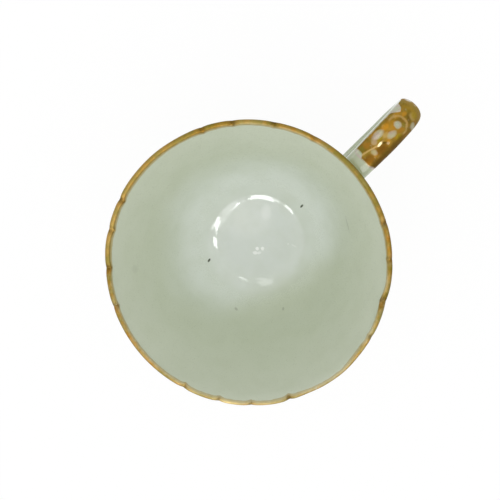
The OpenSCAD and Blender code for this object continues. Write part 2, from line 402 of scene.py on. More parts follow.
def lobe_shift(turn):
    """How far the lip's edge draws in and how far it falls at a turn."""
    turns = [centre for centre, _, _ in NOTCHES]
    turn = turn % 360
    start = max([t for t in turns if t <= turn], default=turns[-1] - 360)
    end = min([t for t in turns if t > turn], default=turns[0] + 360)
    place = 2 * (turn - start) / (end - start) - 1
    cut, _ = notch_depth(turn)
    draw = LOBE_DRAW * place * place + cut
    for centre, size, spread in BULGES:
        draw -= size * MM * math.exp(-((turn_between(turn, centre) / spread) ** 2))
    for waves, crest, size in ROUNDNESS:
        draw -= size * MM * math.cos(math.radians(waves * (turn - crest)))
    return draw, LOBE_FALL * place * place + NOTCH_DIP_SHARE * cut


SHIFTS = [lobe_shift(step * 360 / SPIN_STEPS) for step in range(SPIN_STEPS)]


def lobed(point, step):
    """A place of the section, moved by the lobes and turned round the cup by whole steps."""
    step = step % SPIN_STEPS
    draw, fall = SHIFTS[step]
    share = min(1, max(0, (point.y - BLEND_H) / (CUP_H - BLEND_H))) ** LOBE_POWER
    spot = polar(point.x - draw * share, step * 360 / SPIN_STEPS)
    return Vector((spot.x, spot.y, point.y - fall * share))


# Making pieces


def spun(profile):
    """A closed loop of (radius, height) places, turned round the cup's axis."""
    mesh = bmesh.new()
    verts = [mesh.verts.new((place.x, 0, place.y)) for place in profile]
    edges = [mesh.edges.new(pair) for pair in zip(verts, verts[1:] + verts[:1])]
    bmesh.ops.spin(
        mesh,
        geom=verts + edges,
        cent=(0, 0, 0),
        axis=(0, 0, 1),
        angle=2 * math.pi,
        steps=FOOT_STEPS,
        use_merge=True,
    )
    bmesh.ops.remove_doubles(mesh, verts=mesh.verts, dist=MERGE_DISTANCE)
    return mesh


def skinned(columns, rows, place, notes=()):
    """A grid with each point moved to place(column, row), whose meeting edges are merged.

    After the point, place gives a value for each attribute that notes names.
    """
    mesh = bmesh.new()
    layers = [mesh.verts.layers.float.new(note) for note in notes]
    bmesh.ops.create_grid(mesh, x_segments=columns, y_segments=rows, size=0.5)
    for vert in mesh.verts:
        column = round((vert.co.x + 0.5) * columns)
        row = round((vert.co.y + 0.5) * rows)
        vert.co, *values = place(column, row)
        for layer, value in zip(layers, values):
            vert[layer] = value
    bmesh.ops.remove_doubles(mesh, verts=mesh.verts, dist=MERGE_DISTANCE)
    return mesh


def close_ends(mesh):
    """Closes every open loop with a face."""
    open_edges = [edge for edge in mesh.edges if len(edge.link_faces) == 1]
    bmesh.ops.holes_fill(mesh, edges=open_edges, sides=0)


def in_scene(name, data):
    """A new object in the scene."""
    thing = bpy.data.objects.new(name, data)
    bpy.context.scene.collection.objects.link(thing)
    return thing


def mesh_in_scene(name, mesh):
    """A new object in the scene, made of a mesh."""
    data = bpy.data.meshes.new(name)
    mesh.to_mesh(data)
    mesh.free()
    return in_scene(name, data)


def made(name, mesh, materials, slot, *nodes):
    """Turns a mesh into a piece of the cup that stands for its CAD nodes."""
    bmesh.ops.recalc_face_normals(mesh, faces=mesh.faces)
    piece = mesh_in_scene(name, mesh)
    piece.data.shade_smooth()
    piece.data.set_sharp_from_angle(angle=math.radians(SMOOTH_ANGLE))
    for material in materials:
        piece.data.materials.append(material)
    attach(piece, "root")
    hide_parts(*nodes)


# Shaders


class Wire:
    """The output of a shader node. An expression on it adds Math nodes."""

    def __init__(self, shader, socket):
        self.shader = shader
        self.socket = socket

    def __add__(self, other):
        return self.shader.maths("ADD", self, other)

    def __sub__(self, other):
        return self.shader.maths("SUBTRACT", self, other)

    def __mul__(self, other):
        return self.shader.maths("MULTIPLY", self, other)

    def __truediv__(self, other):
        return self.shader.maths("DIVIDE", self, other)

    def __pow__(self, other):
        return self.shader.maths("POWER", self, other)

    def __rsub__(self, other):
        return self.shader.maths("SUBTRACT", other, self)

    def __abs__(self):
        return self.shader.maths("ABSOLUTE", self)

    __radd__ = __add__
    __rmul__ = __mul__

    def other(self, output):
        """Another output of the same node."""
        return Wire(self.shader, self.socket.node.outputs[output])


class Shader:
    """A node tree, with a method for any node and short ones for what is used often."""

    def __init__(self, owner):
        owner.use_nodes = True
        self.owner = owner
        self.tree = owner.node_tree
        self.tree.nodes.clear()

    def node(self, kind, inputs=None, output=0, **settings):
        """Adds a node with its settings and the values or links of its sockets, and gives an output."""
        added = self.tree.nodes.new("ShaderNode" + kind)
        for key, value in settings.items():
            setattr(added, key, value)
        for key, value in (inputs or {}).items():
            if isinstance(value, Wire):
                self.tree.links.new(value.socket, added.inputs[key])
            else:
                added.inputs[key].default_value = value
        return Wire(self, added.outputs[output]) if added.outputs else None

    def maths(self, operation, first, second=0.0):
        return self.node("Math", {0: first, 1: second}, operation=operation)

    def most(self, first, *others):
        """The greatest of some values."""
        for other in others:
            first = self.maths("MAXIMUM", first, other)
        return first

    def place(self):
        return self.node("TexCoord", output="Object")

    def parts(self, vector):
        """The three parts of a vector."""
        split = self.node("SeparateXYZ", {0: vector})
        return [split.other(axis) for axis in "XYZ"]

    def noise(self, vector, scale, detail):
        return self.node("TexNoise", {"Vector": vector, "Scale": scale, "Detail": detail})

    def fade(self, value, low, high, least=0.0, full=1.0):
        """From least at low to full at high, with a smooth step between."""
        inputs = {"Value": value, "From Min": low, "From Max": high, "To Min": least, "To Max": full}
        return self.node("MapRange", inputs, interpolation_type="SMOOTHSTEP")

    def patches(self, place, kind):
        """Patches of noise with soft edges, from 0 between them to their strength inside."""
        scale, detail, low, high, strength = kind
        return self.fade(self.noise(place, scale, detail), low, high, 0.0, strength)

    def note(self, name):
        return self.node("Attribute", output="Fac", attribute_name=name)

    def blend(self, share, first, second):
        """Mixes two colours. The sockets go by number, because some of them share a name."""
        return self.node("Mix", {0: share, 6: first, 7: second}, output=2, data_type="RGBA")

    def bump(self, height, distance, normal=None):
        inputs = {"Height": height, "Distance": distance, "Strength": 1.0}
        if normal:
            inputs["Normal"] = normal
        return self.node("Bump", inputs)

    def surface(self, **inputs):
        """Ends the tree in one Principled surface, whose sockets are given in lower case."""
        named = {key.replace("_", " ").title().replace("Ior", "IOR"): value for key, value in inputs.items()}
        self.node("OutputMaterial", {"Surface": self.node("BsdfPrincipled", named)})
        return self.owner


def tint(red, green, blue):
    """A colour given as it shows on a screen, from 0 to 255."""
    channels = [channel / 255 for channel in (red, green, blue)]
    return (*[c / 12.92 if c <= 0.04045 else ((c + 0.055) / 1.055) ** 2.4 for c in channels], 1)


def new_material(name):
    return Shader(bpy.data.materials.new(name))


# Glaze colours. The whites of the well and the haunch are partly the glaze's own and partly painted light, a
# brighter zone inside the bowl
WELL_WHITE = tint(219, 225, 220)
HAUNCH_LIT_WHITE = tint(228, 234, 227)
WALL_WHITE = tint(205, 212, 192)
# Green of the glaze's pools and mottle, which also paints shade on the strap
POOL_AND_SHADE_GREEN = tint(180, 190, 158)
IRON_SPOT = tint(62, 66, 48)
CHINA_IOR = 1.55
COAT_SHARE = 0.8
COAT_ROUGHNESS = 0.04
GLAZE_ROUGHNESS = 0.06

# Every fade is given by where it starts and is full, and by its two values if these aren't 0 and 1

# Patches of noise: scale, detail, the values where a patch starts and is full, and its strength
GLOSS_PATCHES = (900, 4, 0.3, 0.8, 0.05)
MOTTLE = (130, 3, 0.35, 0.75, 0.14)
SATIN_GRAIN = (2600, 2, 0.3, 0.7, 1.2)
# Unevenness of the glaze's surface: scale, detail and height
GLAZE_WAVES = ((130, 1.5, 0.05 * MM), (380, 1, 0.045 * MM), (800, 1, 0.01 * MM))
# Broad clouds that shift where one glaze colour gives way to the next
CLOUDS = (45, 3)
# The well's white gives way to the haunch's brighter white, which is painted light, between these radii
WELL_FADE = (9 * MM, 19 * MM)
# The green comes in from before to past the end of the brighter zone of painted light, in millimetres
GREEN_FADE = (-8, 4.5)
GREEN_CLOUD = 4
# Outside, the glaze pools green over the foot, between these heights
POOL_FADE = (9 * MM, 4.5 * MM, 0, 0.7)
POOL_CLOUD = 2 * MM
# Painted shade: places along x where the glaze darkens to green by the strap's upper root, under the lip,
# and where it becomes a little less so further out
STRAP_SHADE_GREEN = (40 * MM, 44 * MM)
STRAP_SHADE_FADE = (62 * MM, 49 * MM, 0.75)
# Tiny dark pits: cells per metre, which of the cells have one, and its edge
PIT_SCALE = 260
PIT_CELLS = (0.965, 0.97)
PIT_EDGE = (0.05, 0.025, 0, 0.4)
# Where the whiter zone inside, which is painted light, ends: turn, and radius in millimetres
LIT_ZONE_ENDS = (
    (19, 30.5),
    (46, 29.5),
    (73, 30),
    (102, 31.5),
    (135, 28.5),
    (165, 29.5),
    (190, 27.5),
    (222, 22),
    (255, 18.5),
    (287, 22),
    (322, 29),
    (352, 31),
)
# The glaze of the wall above the haunch is satin, and that of the well and the outside is bright
BRIGHT_R = 15.5 * MM
SATIN_R = 25 * MM
SATIN_ROUGHNESS = 0.42
SATIN_LEAST = 0.4

# Specks fired into the bowl's glaze, in millimetres: x, y, half length, half width, turn and strength
SPECKS = (
    (18.9, -1.3, 0.75, 0.34, 10, 0.95),
    (-17.2, 6.1, 0.65, 0.36, 18, 0.95),
    (-20.8, -12, 0.6, 0.35, 100, 0.28),
    (-8.8, -22.6, 0.5, 0.35, 40, 0.26),
    (28.4, -14.1, 2.9, 0.16, 62, 0.22),
    (-30.2, 22.2, 1.3, 0.7, 60, 0.08),
)
# Painted glints: white spots in the well's glaze that stand in for highlights on tiny bumps, and stand up a
# little as real bumps too, in rows of the same values
PAINTED_GLINTS = (
    (-2.6, -2.1, 0.65, 0.65, 0, 1),
    (-1.2, -3.3, 0.65, 0.65, 0, 1),
    (-4.1, -2.7, 0.9, 0.65, 130, 0.8),
    (-3.1, -3.6, 0.8, 0.55, 150, 0.6),
    (6.3, -8, 0.4, 0.35, 0, 0.3),
    (7.4, -9.8, 1, 0.35, 110, 0.25),
)
# Painted light: soft white patches that brighten the well, in rows of the same values
PAINTED_BRIGHT_PATCHES = (
    (8.1, 5, 3, 2, 45, 0.35),
    (0.6, 9.6, 4, 3, 10, 0.14),
    (1.6, 8.7, 10, 8, 135, 0.26),
)
# White of the painted glints and of the painted bright patches
PAINTED_LIGHT_WHITE = tint(254, 255, 254)
GRAIN_H = 0.05 * MM
# Edges of ovals: where one starts and where it is full, as squares of the distance in half widths
SPECK_EDGE = (1.6, 0.3)
GLINT_EDGE = (1.3, 0.3)
SOFT_EDGE = (1.3, 0.0)
RESERVE_EDGE = (1.6, 0.0)
LENS_EDGE = (1.4, 0.2)
HIGHLIGHT_EDGE = (1.4, 0.1)


def oval(shader, x, y, spot, edge):
    """The strength of an oval inside it and 0 outside, with a soft edge."""
    centre_x, centre_y, half_l, half_w, turn, strength = spot
    way = polar(1, turn)
    along = ((x - centre_x) * way.x + (y - centre_y) * way.y) / half_l
    over = ((y - centre_y) * way.x - (x - centre_x) * way.y) / half_w
    return shader.fade(along * along + over * over, *edge, 0.0, strength)


def strongest_oval(shader, x, y, spots, edge):
    """The greatest strength that any oval of a table has at a place."""
    return shader.most(*[oval(shader, x, y, spot, edge) for spot in spots])


def inner_colour(shader, flat, radius, cloud):
    """Glaze inside, from the white of the well through a brighter zone of painted light to the green of the
    wall: flat is in millimetres.
    """
    colour = shader.blend(shader.fade(radius, *WELL_FADE), WELL_WHITE, HAUNCH_LIT_WHITE)
    # Past the end of the painted brighter zone, the wall's green comes in
    depth = shader.fade(shader.note("past_lit_zone") + cloud * GREEN_CLOUD, *GREEN_FADE)
    colour = shader.blend(depth, colour, WALL_WHITE)
    # Painted light: soft patches that brighten the well
    for spot in PAINTED_BRIGHT_PATCHES:
        colour = shader.blend(oval(shader, *flat, spot, SOFT_EDGE), colour, PAINTED_LIGHT_WHITE)
    return colour


def outer_colour(shader, x, z, cloud):
    """Glaze outside, which is greener in the pool at the foot, and darker green on the strap as painted
    shade, fullest by its upper root.
    """
    pool = shader.fade(z + cloud * POOL_CLOUD, *POOL_FADE)
    # Painted shade: darker green on the strap, fullest under the lip by its upper root
    strap = shader.fade(x, *STRAP_SHADE_GREEN) * shader.fade(x, *STRAP_SHADE_FADE)
    return shader.blend(shader.most(pool, strap), WALL_WHITE, POOL_AND_SHADE_GREEN)


def glaze(shader, inside):
    """Colour, roughness, normal and share of bright coat of the glaze over the white body."""
    place = shader.place()
    x, y, z = shader.parts(place)
    flat = (x / MM, y / MM)
    radius = (x * x + y * y) ** 0.5
    cloud = shader.noise(place, *CLOUDS) - 0.5
    colour = inner_colour(shader, flat, radius, cloud) if inside else outer_colour(shader, x, z, cloud)
    colour = shader.blend(shader.patches(place, MOTTLE), colour, POOL_AND_SHADE_GREEN)
    if inside:
        for spot in SPECKS:
            colour = shader.blend(oval(shader, *flat, spot, SPECK_EDGE), colour, IRON_SPOT)
    from_pit = shader.node("TexVoronoi", {"Vector": place, "Scale": PIT_SCALE})
    chosen = shader.fade(shader.parts(from_pit.other("Color"))[0], *PIT_CELLS)
    colour = shader.blend(chosen * shader.fade(from_pit, *PIT_EDGE), colour, IRON_SPOT)
    roughness = shader.patches(place, GLOSS_PATCHES) + GLAZE_ROUGHNESS
    coat = COAT_SHARE
    normal = None
    for scale, detail, height in GLAZE_WAVES:
        normal = shader.bump(shader.noise(place, scale, detail), height, normal)
    if inside:
        satin = shader.fade(radius, BRIGHT_R, SATIN_R)
        roughness = roughness + satin * (shader.patches(place, SATIN_GRAIN) + SATIN_LEAST) * SATIN_ROUGHNESS
        coat = (1 - satin) * COAT_SHARE
        # Painted glints: white spots that stand in for highlights, with a small real bump under them
        glints = strongest_oval(shader, *flat, PAINTED_GLINTS, GLINT_EDGE)
        colour = shader.blend(glints, colour, PAINTED_LIGHT_WHITE)
        normal = shader.bump(glints, GRAIN_H, normal)
    return colour, roughness, normal, coat


def china(name, inside=False):
    shader = new_material(name)
    colour, roughness, normal, coat = glaze(shader, inside)
    return shader.surface(
        base_color=colour,
        roughness=roughness,
        normal=normal,
        ior=CHINA_IOR,
        coat_weight=coat,
        coat_roughness=COAT_ROUGHNESS,
    )


BISCUIT = tint(214, 208, 194)
GRIME_BROWN = tint(158, 148, 128)
BISCUIT_GRAIN = (1800, 4)
BISCUIT_GRAIN_H = 0.03 * MM
BISCUIT_ROUGHNESS = 0.85
BISCUIT_UNEVENNESS = 0.1
GRIME = (220, 4, 0.4, 0.75, 0.6)


def biscuit(name):
    """The ground, unglazed face that the cup stands on."""
    shader = new_material(name)
    place = shader.place()
    grain = shader.noise(place, *BISCUIT_GRAIN)
    return shader.surface(
        base_color=shader.blend(shader.patches(place, GRIME), BISCUIT, GRIME_BROWN),
        roughness=BISCUIT_ROUGHNESS + grain * BISCUIT_UNEVENNESS,
        normal=shader.bump(grain, BISCUIT_GRAIN_H),
    )


# Paler gold, which paints highlights on the lip and the strap
GOLD_HIGHLIGHT = tint(206, 184, 124)
GOLD = tint(135, 116, 52)
GOLD_BRIGHT = tint(186, 134, 40)
GOLD_YELLOW = tint(146, 124, 30)
GOLD_ORANGE = tint(146, 106, 38)
GOLD_OLIVE = tint(118, 107, 42)
GOLD_BROWN = tint(86, 64, 20)
RED_BROWN = tint(100, 64, 18)
# Cream of the painted highlight on the scroll line
LINE_HIGHLIGHT_COLOUR = tint(255, 240, 196)
LINE_TAN = tint(190, 162, 108)
WORN_GOLD = tint(184, 176, 136)
DULL_LILAC = tint(196, 171, 168)

# Fired gold: brushed patches and flecks, its fine grain, and how dull it is
GOLD_PATCHES = (260, 3, 0.36, 0.64, 1)
GOLD_FLECKS = (620, 3, 0.35, 0.7, 0.75)
GOLD_GRAIN = (1500, 4)
GOLD_GRAIN_H = 0.012 * MM
GOLD_ROUGHNESS = 0.52
GOLD_UNEVENNESS = 0.1
# Gold of the lip: brown patches in the notches, patches where it is thin, its paler places, which are
# painted highlights on the crest and paler gold towards the band's edges, and rubbed places
BROWN_PATCHES = (520, 3, 0.25, 0.6, 0.8)
BROWN_NOTCH = (0.0, 0.8)
THIN_PATCHES = (480, 4, 0.35, 0.65, 1)
CREST_HIGHLIGHT = (0.35, 0.9, 0.4)
PALE_SIDE = (0.75, 0.2, 0, 0.65)
THIN_EDGE = (1.5, 0.1, 0, 0.9)
EDGE_NOISE = (800, 3)
EDGE_WOBBLE = 0.9
RUB_NOISE = (700, 4)
RUB_WEAR_SHARE = 0.5
RUB_FADE = (0.86, 0.98)
# Gold of the foot's line, and how much glossier it is where it is rubbed through
FOOT_RUB = (420, 4, 0.6, 0.68, 1)
FOOT_RUB_GLOSS = 0.2


def gold_leaf(shader, place):
    """Colour, roughness and grain of brushed and fired gold."""
    patch = shader.patches(place, GOLD_PATCHES)
    grain = shader.noise(place, *GOLD_GRAIN)
    colour = shader.blend(patch, GOLD_ORANGE, GOLD_OLIVE)
    colour = shader.blend(shader.patches(place, GOLD_FLECKS), colour, GOLD)
    return colour, GOLD_ROUGHNESS + (patch + grain) * GOLD_UNEVENNESS, grain


def lip_gold():
    """Gold on the lip: brown in the notches, with painted highlights on its crest, thin at its inner edge
    and rubbed where it is touched.
    """
    shader = new_material("lip_gold")
    place = shader.place()
    colour, roughness, grain = gold_leaf(shader, place)
    lift = shader.note("lift")
    # Painted highlights: paler gold on the crest at some turns, and paler gold towards the band's edges
    pale = shader.most(shader.fade(lift, *CREST_HIGHLIGHT) * shader.note("pale"), shader.fade(lift, *PALE_SIDE))
    colour = shader.blend(pale, colour, GOLD_HIGHLIGHT)
    brown = shader.fade(shader.note("notch"), *BROWN_NOTCH) * shader.patches(place, BROWN_PATCHES)
    colour = shader.blend(brown, colour, GOLD_BROWN)
    edge = shader.note("edge") + (shader.noise(place, *EDGE_NOISE) - 0.5) * EDGE_WOBBLE
    thin = shader.note("thin") * shader.patches(place, THIN_PATCHES)
    rub = shader.fade(shader.noise(place, *RUB_NOISE) + shader.note("wear") * RUB_WEAR_SHARE, *RUB_FADE)
    bare = shader.most(shader.fade(edge, *THIN_EDGE), thin, rub)
    return shader.surface(
        base_color=shader.blend(bare, colour, WORN_GOLD),
        metallic=1 - bare,
        roughness=roughness,
        normal=shader.bump(grain, GOLD_GRAIN_H),
    )


def foot_gold():
    """The worn gold of the line round the foot."""
    shader = new_material("foot_gold")
    place = shader.place()
    rub = shader.patches(place, FOOT_RUB)
    colour, roughness, grain = gold_leaf(shader, place)
    return shader.surface(
        base_color=shader.blend(rub, colour, WALL_WHITE),
        metallic=1 - rub,
        roughness=roughness - rub * FOOT_RUB_GLOSS,
        normal=shader.bump(grain, GOLD_GRAIN_H),
    )


# On the strap's back all places are in millimetres: run goes out from over the lip, and across to +y
GROUP_START = 8.4
GROUP_PITCH = 20
# Ovals left in reserve in each group: run, across, half length, half width, turn and strength
RESERVES = (
    (11.6, 2.4, 2.3, 1.1, -4, 0.62),
    (14.8, -0.6, 1.7, 1, -8, 0.5),
    (18.3, 0.1, 1.2, 1.2, 0, 0.75),
)
# A ring of pale line round the last oval of each group, open towards the root
RING_CENTRE = 18.3
RING_R = 3
RING_EDGE = (0.6, 0.1, 0, 0.4)
RING_OPENING = (-1.6, 0)
# A pale scroll line, which starts off the middle of the strap and comes to it
SCROLL_OFF = 1.6
SCROLL_RUN = (3, 11)
SCROLL_EDGE = (0.4, 0.1, 0, 0.6)
SCROLL_END = (12.5, 10.5)
# Where the gold starts, and how much further out it does so towards its sides: from, to and how far
GOLD_START = 2.9
GOLD_START_STEPS = ((0.8, 2, 1.2), (-2.2, -3.8, 0.5))
GOLD_START_EDGE = (0.4, -0.4)
# The bare border on one side, which widens in one place
BORDER = (4, 4.35, 0, 0.8)
BORDER_END = (27.4, 26.6)
WIDER_FROM = (19.6, 22.7)
WIDER_TO = (26, 22.5)
WIDER_BY = 1.9
# Painted shade: a brown edge along the other side, where the gold turns away from the light, which is faint
# further out
SHADED_EDGE = (-1.9, -3.3, 0, 0.75)
SHADED_EDGE_END = (19, 15.5, 0.15)
# Bare or thinly gilt patches that don't repeat
BARE_PATCHES = (
    (7.1, -0.5, 1, 1.2, 0, 0.3),
    (9.3, 1.8, 1.1, 1.2, 0, 0.25),
    (12, -1.5, 0.6, 0.5, 0, 0.2),
    (22.3, -3.6, 1.5, 1, 0, 0.45),
)
# Where the gold is deeper, paler or browner, partly its own uneven tone and partly painted light: the bright
# and pale rows paint highlights and the darker rows, in part, paint shade; the same values and a colour
TONES_AND_PAINTED_LIGHT = (
    (4.6, -1, 2.2, 2, 0, 0.75, RED_BROWN),
    (5, 2.9, 1.7, 1, 0, 0.9, GOLD_OLIVE),
    (7, 2.6, 1.4, 1, 0, 0.9, GOLD_ORANGE),
    (9.4, -1.6, 2.8, 1.5, 0, 0.8, RED_BROWN),
    (16.6, 1.8, 2.6, 1.8, 0, 0.4, GOLD_BRIGHT),
    (13.3, 0.7, 1.5, 0.8, 0, 0.25, GOLD_HIGHLIGHT),
    (5.8, -3, 2.2, 1.2, 0, 0.5, GOLD_BROWN),
    (19.6, -1.2, 1.2, 0.9, 0, 0.7, GOLD_OLIVE),
    (15, 2.6, 1.6, 1, 0, 0.7, GOLD_BRIGHT),
    (11, 1.1, 1.6, 0.7, 0, 0.8, GOLD_YELLOW),
    (15.8, -2.7, 1.5, 1.1, 0, 0.9, GOLD_YELLOW),
    (17.4, -1.6, 0.9, 0.8, 0, 0.8, GOLD_ORANGE),
    (20.8, 2.4, 2, 1.3, 0, 0.35, GOLD_BRIGHT),
    (22.6, 0.9, 1.3, 0.8, 0, 0.6, GOLD_BRIGHT),
    (23.2, -0.8, 2.8, 0.9, 25, 0.35, GOLD_BROWN),
    (24.4, -1.6, 1.6, 1.6, 0, 0.4, GOLD_HIGHLIGHT),
    (20.6, -0.3, 0.7, 1.6, 0, 0.3, GOLD_BROWN),
    (25.4, -2, 1.8, 1.5, 0, 0.8, GOLD_YELLOW),
    (28, 0, 4.5, 5, 0, 0.6, GOLD_YELLOW),
)
# A dark lens on the scroll line, and a painted highlight: a cream glint painted onto it
LENS = (11.3, -0.6, 1, 0.35, -35, 0.8)
LINE_HIGHLIGHT = (10, 0.05, 1.1, 0.45, 0, 0.9)
# The strap's gold: how far the brush strays, rubbed and stained patches, and the bright gold in all of it
BRUSH_NOISE = (500, 3)
BRUSH_STRAY = 0.7
STRAP_RUB = (600, 4, 0.62, 0.78, 0.2)
STAINS = (420, 3, 0.42, 0.62, 0.45)
BRIGHT_SHARE = 0.15
# How far it stands above the bare china, and dull patches on that
GOLD_STEP = 0.03 * MM
LILAC_PATCHES = (300, 2, 0.35, 0.6, 0.6)


def strap_ornament(shader, run, across):
    """How far the white china shows between the gold, and how far the gold is a pale line."""
    groups = shader.maths("FLOOR", shader.most(run - GROUP_START, 0.0) / GROUP_PITCH)
    group = run - groups * GROUP_PITCH
    start = GOLD_START
    for low, high, further in GOLD_START_STEPS:
        start = start + shader.fade(across, low, high) * further
    wider = shader.fade(run, *WIDER_FROM) * shader.fade(run, *WIDER_TO)
    bare = shader.most(
        shader.fade(run - start, *GOLD_START_EDGE),
        strongest_oval(shader, group, across, RESERVES, RESERVE_EDGE),
        strongest_oval(shader, run, across, BARE_PATCHES, SOFT_EDGE),
        shader.fade(across + wider * WIDER_BY, *BORDER) * shader.fade(run, *BORDER_END),
    )
    scroll = SCROLL_OFF - shader.fade(run, *SCROLL_RUN) * SCROLL_OFF
    line = shader.fade(abs(across - scroll), *SCROLL_EDGE) * shader.fade(run, *SCROLL_END)
    out = group - RING_CENTRE
    from_ring = abs((out * out + across * across) ** 0.5 - RING_R)
    ring = shader.fade(from_ring, *RING_EDGE) * shader.fade(out, *RING_OPENING)
    return bare, shader.most(line, ring)


def handle_gold():
    """Gold on the strap's back, brushed round ovals, dots and a scroll of bare china, with painted
    highlights and painted shade in its colour.
    """
    shader = new_material("handle_gold")
    place = shader.place()
    stray = (shader.noise(place, *BRUSH_NOISE) - 0.5) * BRUSH_STRAY
    run = shader.note("run") + stray
    across = shader.note("across") - stray
    bare, line = strap_ornament(shader, run, across)
    bare = shader.most(bare, shader.patches(place, STRAP_RUB))
    colour, roughness, grain = gold_leaf(shader, place)
    colour = shader.blend(shader.patches(place, STAINS), colour, GOLD_BROWN)
    colour = shader.blend(BRIGHT_SHARE, colour, GOLD_BRIGHT)
    # Tones of the gold, partly its own and partly painted highlights and shade
    for *spot, tone in TONES_AND_PAINTED_LIGHT:
        colour = shader.blend(oval(shader, run, across, spot, SOFT_EDGE), colour, tone)
    # Painted shade along the -y edge, and the dark lens of the ornament
    edge = shader.fade(across, *SHADED_EDGE) * shader.fade(run, *SHADED_EDGE_END)
    lens = oval(shader, run, across, LENS, LENS_EDGE)
    colour = shader.blend(shader.most(edge, lens), colour, GOLD_BROWN)
    colour = shader.blend(line, colour, LINE_TAN)
    china_colour, china_roughness, _, _ = glaze(shader, False)
    china_colour = shader.blend(shader.patches(place, LILAC_PATCHES), china_colour, DULL_LILAC)
    colour = shader.blend(bare, colour, china_colour)
    # The colour ends with the painted highlight on the scroll line
    return shader.surface(
        base_color=shader.blend(oval(shader, run, across, LINE_HIGHLIGHT, HIGHLIGHT_EDGE), colour, LINE_HIGHLIGHT_COLOUR),
        metallic=1 - bare,
        roughness=roughness * (1 - bare) + china_roughness * bare,
        normal=shader.bump(grain, GOLD_GRAIN_H, shader.bump(1 - bare, GOLD_STEP)),
        coat_weight=bare * COAT_SHARE,
    )


# Pieces


def make_bowl():
    """The thrown wall, from the well up to the lobed lip and down to the base."""
    inner_leg = leg_length(1)
    outer_leg = leg_length(-1)
    lip = [lip_skin(LIP_QUARTER + inner_leg * (1 - i / LEG_STEPS)) for i in range(1, LEG_STEPS)]
    lip += [lip_skin(LIP_QUARTER * (1 - i / ROUND_STEPS)) for i in range(2 * ROUND_STEPS + 1)]
    lip += [lip_skin(-LIP_QUARTER - outer_leg * i / LEG_STEPS) for i in range(1, LEG_STEPS)]
    profile = INNER + lip + OUTER[::-1]

    def place(column, row):
        # How far a place lies past the end of the painted brighter zone inside
        past = profile[row].x / MM - along_table(LIT_ZONE_ENDS, column * 360 / SPIN_STEPS)
        return lobed(profile[row], column), past

    mesh = skinned(SPIN_STEPS, len(profile) - 1, place, ("past_lit_zone",))
    bmesh.ops.recalc_face_normals(mesh, faces=mesh.faces)
    for face in mesh.faces:
        face.material_index = 0 if face.normal.z > 0 else 1
    made("bowl_body", mesh, [china("well_glaze", inside=True), china("bowl_glaze")], "glazed_china", "bowl")


def brush_wobble(turn):
    """How far the brushed edges of the lip's gilding stray at a turn."""
    wobble = 0
    for size, radius, height in WOBBLE_CIRCLES:
        spot = polar(radius, turn)
        wobble += size * noise.noise(Vector((spot.x, spot.y, height)))
    return wobble


def lip_wear(turn):
    """How much the lip's gilding is rubbed at a turn."""
    return sum(size * max(0, 1 - turn_between(turn, centre) / LIP_WEAR_SPREAD) for centre, size in LIP_WEAR)


def film_rows(steps):
    """How many rows go round the section of a film that has so many steps across."""
    return 2 * steps + 2


def film_side(row, steps):
    """For a row round a film's section, the share of the way across it and the lift off the skin."""
    row = row % film_rows(steps)
    if row <= steps:
        return row / steps, GILT_T
    return 2 - (row - 1) / steps, -GILT_T


def make_lip_gilding():
    """A film of gold over the lip, with a hand-brushed edge inside."""

    def place(column, row):
        turn = column * 360 / SPIN_STEPS
        _, depth = notch_depth(turn)
        wobble = brush_wobble(turn)
        end = along_table(LIP_GILT_ENDS, turn) * MM + NOTCH_DRIP * depth + wobble
        share, lift = film_side(row, LIP_GILT_STEPS)
        run = mix(-LIP_GILT_OUT - wobble, end, share)
        crest = max(0, 1 - abs(run) / (2 * LIP_QUARTER))
        # How much highlight is painted on the crest at this turn, and how thin the gold is
        pale, thin = along_table(LIP_HIGHLIGHTS, turn), along_table(LIP_THIN, turn)
        return lobed(lip_skin(run, lift), column), depth, lip_wear(turn), (end - run) / MM, crest, pale, thin

    notes = ("notch", "wear", "edge", "lift", "pale", "thin")
    mesh = skinned(SPIN_STEPS, film_rows(LIP_GILT_STEPS), place, notes)
    made("lip_gilt", mesh, [lip_gold()], "gilding", "rim_gilding")


def foot_side(height, radius=FOOT_R, draw=FOOT_DRAW):
    """Radius of a side of the foot at a height: the outer one, where no other is given."""
    return radius - draw * (height - FOOT_ROUND) / (FOOT_TOP - FOOT_ROUND)


def foot_corner(centre_r, first):
    """A rounded lower corner of the foot, for a quarter turn from an angle."""
    centre = Vector((centre_r, FOOT_ROUND))
    return [centre + polar(FOOT_ROUND, first + 90 * i / CORNER_STEPS) for i in range(CORNER_STEPS + 1)]


def under_place(radius, lift):
    """A place on the bowl's underside, a little above or below its skin."""
    return Vector((radius, under_h(radius) + lift))


def fillet(start, first_pull, last_pull, end):
    """A hollow curve from the start to the end, with how far each is pulled into the corner."""
    knots = (start, start + first_pull, end + last_pull, end)
    return [cubic(knots, i / FILLET_STEPS) for i in range(FILLET_STEPS + 1)]


